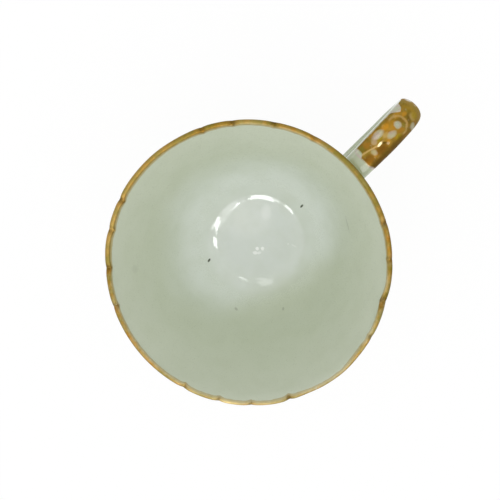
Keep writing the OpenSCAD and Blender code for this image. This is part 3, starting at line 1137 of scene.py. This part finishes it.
def make_foot():
    """The turned ring under the bowl, with glaze pooled where it meets the wall."""
    inner_r = FOOT_R - FOOT_FACE_W - 2 * FOOT_ROUND
    profile = foot_corner(inner_r + FOOT_ROUND, 180) + foot_corner(FOOT_R - FOOT_ROUND, 270)
    outer_low = under_h(FOOT_R - FOOT_DRAW / 2) - FILLET_RISE
    outer_far = FOOT_R - FOOT_DRAW / 2 + FILLET_REACH
    for i in range(1, SIDE_STEPS):
        height = mix(FOOT_ROUND, outer_low, i / SIDE_STEPS)
        profile.append(Vector((foot_side(height), height)))
    rise = under_h(outer_far) - under_h(outer_far - FILLET_REACH)
    way = Vector((FILLET_REACH, rise)).normalized()
    pull = FILLET_RISE * FILLET_PULL
    start = Vector((foot_side(outer_low), outer_low))
    profile += fillet(start, Vector((0, pull)), -way * pull, under_place(outer_far, FILLET_LIFT))
    profile.append(under_place(outer_far - FILLET_REACH, FOOT_SINK))
    inner_low = under_h(inner_r) - FILLET_RISE * INNER_RISE_SHARE
    inner_far = inner_r - FILLET_REACH * INNER_REACH_SHARE
    profile.append(under_place(inner_far + FILLET_REACH, FOOT_SINK))
    first_pull = Vector((FILLET_REACH * FILLET_PULL, 0))
    last_pull = Vector((0, pull * FILLET_PULL))
    end = Vector((foot_side(inner_low, inner_r, FOOT_INNER_DRAW), inner_low))
    profile += fillet(under_place(inner_far, FILLET_LIFT), first_pull, last_pull, end)
    mesh = spun(profile)
    for face in mesh.faces:
        face.material_index = 1 if face.calc_center_median().z < GROUND_H else 0
    made("foot", mesh, [china("foot_glaze"), biscuit("ground_foot")], "glazed_china", "foot_ring")


def make_foot_line():
    """The gilt line round the foot."""
    low = FOOT_GILT_H
    high = FOOT_GILT_H + FOOT_GILT_W
    profile = [Vector((foot_side(low) - GILT_T, low))]
    for i in range(FOOT_GILT_STEPS + 1):
        height = mix(low, high, i / FOOT_GILT_STEPS)
        profile.append(Vector((foot_side(height) + GILT_T, height)))
    profile.append(Vector((foot_side(high) - GILT_T, high)))
    made("foot_line", spun(profile), [foot_gold()], "gilding", "foot_gilding")


# Strap handle, swept along two curves that meet at the elbow

UPPER_ROOT_H = CUP_H - UPPER_ROOT_DROP
STRAP_START = Vector((outer_r(UPPER_ROOT_H) - ROOT_SINK, UPPER_ROOT_H))
STRAP_END = Vector((outer_r(LOWER_ROOT_H) - ROOT_SINK, LOWER_ROOT_H))
ELBOW = Vector((RIM_R + HANDLE_REACH - STRAP_BACK, ELBOW_H))
UPPER_CURVE = (
    STRAP_START,
    STRAP_START + polar((ELBOW.x - STRAP_START.x) * CLIMB_SHARE, UPPER_CLIMB),
    ELBOW + Vector((0, (UPPER_ROOT_H - ELBOW_H) * SHOULDER_SHARE)),
    ELBOW,
)
LOWER_CURVE = (
    ELBOW,
    ELBOW - Vector((0, (ELBOW_H - LOWER_ROOT_H) * DROP_SHARE)),
    STRAP_END + polar((ELBOW.x - STRAP_END.x) * RETURN_SHARE, -LOWER_FALL),
    STRAP_END,
)


def powered(value):
    return math.copysign(abs(value) ** STRAP_POWER, value)


def strap_width(way):
    """Half the strap's width: way runs from 0 over 1 at the elbow to 2."""
    place = way / 2 * (len(WIDTH_SHARES) - 1)
    k = min(int(place), len(WIDTH_SHARES) - 2)
    return STRAP_W / 2 * mix(WIDTH_SHARES[k], WIDTH_SHARES[k + 1], smooth(place - k))


def strap_point(way, turn, lift=0):
    """A place on the strap: turn 0 is its +y edge, 90 its back and 270 its belly."""
    curve = UPPER_CURVE if way < 1 else LOWER_CURVE
    t = way if way < 1 else way - 1
    half_w = strap_width(way)
    around = polar(1, turn)
    deep = STRAP_BACK if around.y > 0 else STRAP_BELLY
    across = powered(around.x) * half_w
    out = powered(around.y) * deep
    facing = Vector((across / half_w**2, out / deep**2)).normalized()
    spot = cubic(curve, t) + polar(out + lift * facing.y, cubic_slope(curve, t) + 90)
    straight = Vector((spot.x, across + lift * facing.x)) - SKEW_PIVOT
    flat = SKEW_PIVOT + Matrix.Rotation(math.radians(STRAP_SKEW), 2) @ straight
    return Vector((flat.x, flat.y, spot.y))


def strap_contact(turn, low, high):
    """Where a line of the strap comes out of the bowl's wall, between two ways."""
    for _ in range(HALVINGS):
        middle = (low + high) / 2
        spot = strap_point(middle, turn)
        if spot.xy.length < outer_r(spot.z):
            low = middle
        else:
            high = middle
    return (low + high) / 2


def sunk_way(way, turn, step):
    """The way that lies as deep in the wall as the strap is sunk, from where it comes out."""
    start = strap_point(way, turn)
    while (strap_point(way, turn) - start).length < STRAP_SINK:
        way += step
    return way


SIDE_TURNS = [360 * j / STRAP_SIDES for j in range(STRAP_SIDES)]
CONTACTS = [(strap_contact(turn, 0, ROOT_WAY), strap_contact(turn, 2, 2 - ROOT_WAY)) for turn in SIDE_TURNS]


def make_handle():
    """The strap, with its ends sunk into the wall."""
    ends = [
        (sunk_way(upper, turn, -WAY_STEP), sunk_way(lower, turn, WAY_STEP))
        for turn, (upper, lower) in zip(SIDE_TURNS, CONTACTS)
    ]

    def place(column, row):
        row = row % STRAP_SIDES
        return (strap_point(mix(*ends[row], column / STRAP_STEPS), SIDE_TURNS[row]),)

    mesh = skinned(STRAP_STEPS, STRAP_SIDES, place)
    close_ends(mesh)
    made("strap", mesh, [china("handle_glaze")], "glazed_china", "handle")


def make_slip(name, node, end, step):
    """A hollow fillet of slip round a root, from the wall out along the strap."""

    def place(column, row):
        column = column % (SLIP_STEPS + 2)
        turn = SIDE_TURNS[row % STRAP_SIDES]
        contact = CONTACTS[row % STRAP_SIDES][end]
        root = strap_point(contact, turn)
        along = (strap_point(contact + WAY_PROBE * step, turn) - root).normalized()
        lifted = (strap_point(contact, turn, MM) - root).normalized()
        radial = Vector((root.x, root.y, 0)).normalized()
        slope = (outer_r(root.z + SLOPE_SPAN / 2) - outer_r(root.z - SLOPE_SPAN / 2)) / SLOPE_SPAN
        out = (radial - Vector((0, 0, slope))).normalized()
        up_wall = (lifted - out * lifted.dot(out)).normalized()
        if column == SLIP_STEPS + 1:
            return (root - out * (STRAP_SINK / 2) + up_wall * (SLIP_FILLET / 3),)
        angle = math.radians(90 * column / SLIP_STEPS)
        on_strap = SLIP_FILLET * (1 - math.cos(angle))
        on_wall = SLIP_FILLET * (1 - math.sin(angle))
        spot = root + along * on_strap + up_wall * on_wall
        if column == 0:
            spot -= out * SLIP_IN_WALL
        if column == SLIP_STEPS:
            spot -= lifted * SLIP_IN_STRAP
        return (spot,)

    mesh = skinned(SLIP_STEPS + 2, STRAP_SIDES, place)
    made(name, mesh, [china(name + "_glaze")], "glazed_china", node)


def make_handle_gilding():
    """A film of gold over the back of the strap, with ovals, dots and scrolls left in reserve."""
    back = [strap_point(2 * i / BACK_STEPS, 90) for i in range(BACK_STEPS + 1)]
    runs = [0]
    for near, far in zip(back, back[1:]):
        runs.append(runs[-1] + (far - near).length)
    lip_run = next(run for run, spot in zip(runs, back) if spot.x > RIM_R)

    def way_at(run):
        index = next(i for i, value in enumerate(runs) if value >= run + lip_run)
        share = (run + lip_run - runs[index - 1]) / (runs[index] - runs[index - 1])
        return 2 * (index - 1 + share) / BACK_STEPS

    gilt_runs = [mix(GILT_START, GILT_END, i / GILT_COLUMNS) for i in range(GILT_COLUMNS + 1)]
    ways = [way_at(run) for run in gilt_runs]

    def place(column, row):
        share, lift = film_side(row, GILT_ROWS)
        turn = mix(GILT_FIRST_TURN, GILT_LAST_TURN, share)
        across = powered(math.cos(math.radians(turn))) * strap_width(ways[column])
        return strap_point(ways[column], turn, lift), gilt_runs[column] / MM, across / MM

    mesh = skinned(GILT_COLUMNS, film_rows(GILT_ROWS), place, ("run", "across"))
    close_ends(mesh)
    made("handle_gilt", mesh, [handle_gold()], "gilding", "handle_gilding")


make_bowl()
make_lip_gilding()
make_foot()
make_foot_line()
make_handle()
make_slip("upper_slip", "upper_slip_joint", 0, 1)
make_slip("lower_slip", "lower_slip_joint", 1, -1)
make_handle_gilding()


# Floor, light and camera


WHITE = (1, 1, 1, 1)
FLOOR_HALF = 2
# The floor is pale paper, which glows white where the camera or a gloss sees it
PAPER = (0.9, 0.9, 0.9, 1)
PAPER_GLOW = 1.02
GLOW_SHARE = 0.9


def make_floor():
    """A plain white floor, which keeps the cup's shadow."""
    mesh = bmesh.new()
    bmesh.ops.create_grid(mesh, x_segments=1, y_segments=1, size=FLOOR_HALF)
    floor = mesh_in_scene("floor", mesh)
    shader = new_material("white_paper")
    camera = shader.node("LightPath", output="Is Camera Ray")
    seen = shader.most(camera, camera.other("Is Glossy Ray"))
    paper = shader.node("BsdfDiffuse", {"Color": PAPER})
    glow = shader.node("Emission", {"Color": WHITE, "Strength": PAPER_GLOW})
    mixed = shader.node("MixShader", {0: seen * GLOW_SHARE, 1: paper, 2: glow})
    shader.node("OutputMaterial", {"Surface": mixed})
    floor.data.materials.append(shader.owner)


# The white studio: bright overhead, less so at the sides, and a little more on one side
ZENITH_LEVEL = 1.1
SIDE_LEVEL = 0.57
BRIGHT_TURN = 225
BRIGHT_GAIN = 0.165


def make_world():
    world = bpy.data.worlds.new("studio")
    bpy.context.scene.world = world
    shader = Shader(world)
    camera = shader.node("LightPath", output="Is Camera Ray")
    x, y, z = shader.parts(shader.node("TexCoord", output="Generated"))
    bright = polar(BRIGHT_GAIN, BRIGHT_TURN)
    level = SIDE_LEVEL + shader.fade(z, 0.0, 1.0) * (ZENITH_LEVEL - SIDE_LEVEL) + x * bright.x + y * bright.y
    white = shader.node("Background", {"Color": WHITE, "Strength": 1.0})
    sky = shader.node("Background", {"Color": WHITE, "Strength": level})
    mixed = shader.node("MixShader", {0: camera, 1: sky, 2: white})
    shader.node("OutputWorld", {"Surface": mixed})


# Small lights that only show as reflections in the glaze and the gold:
# turn round the cup, angle from overhead, width and height as angles, brightness
LAMPS = (
    (304, 31, 7, 15, 5.5),
    (280, 37, 9.5, 20, 5.5),
    (281, 50, 15, 8, 2.5),
    (260, 50, 16, 5, 1.8),
    (255, 33, 16, 26, 1),
    (247, 17, 7, 3, 1.5),
    (241, 28, 2.6, 12, 6),
    (218, 45, 15, 28, 5.5),
    (203, 45, 4, 14, 2.5),
    (188, 50, 8, 24, 4.5),
    (66, 32, 12, 18, 1.2),
    (73, 16, 5, 14, 1.2),
    (26, 22, 6, 7, 2.4),
)
# Soft lights of that kind stand low round the darker side: their turns, and then the same values
LOW_LAMP_TURNS = range(350, 531, 36)
LOW_LAMP = (72, 36, 26, 0.9)
LAMP_DISTANCE = 0.9
# Watts for a square metre of lamp at a brightness of 1
LAMP_POWER = 4


def leaning(lean, turn):
    """The direction that leans from overhead towards a turn."""
    flat = polar(math.sin(math.radians(lean)), turn)
    return Vector((flat.x, flat.y, math.cos(math.radians(lean))))


def make_lamps():
    low_lamps = tuple((turn, *LOW_LAMP) for turn in LOW_LAMP_TURNS)
    for number, (turn, lean, wide, high, level) in enumerate(LAMPS + low_lamps):
        light = bpy.data.lights.new(f"lamp_{number}", "AREA")
        light.shape = "RECTANGLE"
        light.size = 2 * LAMP_DISTANCE * math.tan(math.radians(wide / 2))
        light.size_y = 2 * LAMP_DISTANCE * math.tan(math.radians(high / 2))
        light.energy = LAMP_POWER * light.size * light.size_y * level
        lamp = in_scene(light.name, light)
        way = leaning(lean, turn)
        lamp.location = Vector((0, 0, FLOOR_H)) + way * LAMP_DISTANCE
        lamp.rotation_euler = way.to_track_quat("Z", "Y").to_euler()
        lamp.visible_camera = False
        lamp.visible_diffuse = False


def make_camera():
    """The camera, leaning over the cup as in the picture."""
    back = leaning(LEAN, LEAN_TURN)
    handle_way = (Vector((1, 0, 0)) - back * back.x).normalized()
    side_way = back.cross(handle_way)
    angle = math.radians(HANDLE_PX_ANGLE)
    right = handle_way * math.cos(angle) - side_way * math.sin(angle)
    up = handle_way * math.sin(angle) + side_way * math.cos(angle)
    place = Vector((0, 0, CUP_H)) + back * CAMERA_DISTANCE
    offset_x = (FRAME_PX / 2 - RIM_PX[0]) / FOCAL_PX
    offset_y = (RIM_PX[1] - FRAME_PX / 2) / FOCAL_PX
    ahead = (-back + right * offset_x + up * offset_y).normalized()
    right = ahead.cross(up).normalized()
    up = right.cross(ahead)
    camera = in_scene("camera", bpy.data.cameras.new("camera"))
    camera.data.sensor_width = SENSOR
    camera.data.lens = FOCAL_PX / FRAME_PX * SENSOR
    camera.data.clip_start = CLIP_START
    turned = Matrix((right, up, -ahead)).transposed().to_4x4()
    camera.matrix_world = Matrix.Translation(place) @ turned
    bpy.context.scene.camera = camera


make_floor()
make_world()
make_lamps()
make_camera()
bpy.context.scene.view_settings.view_transform = "Standard"
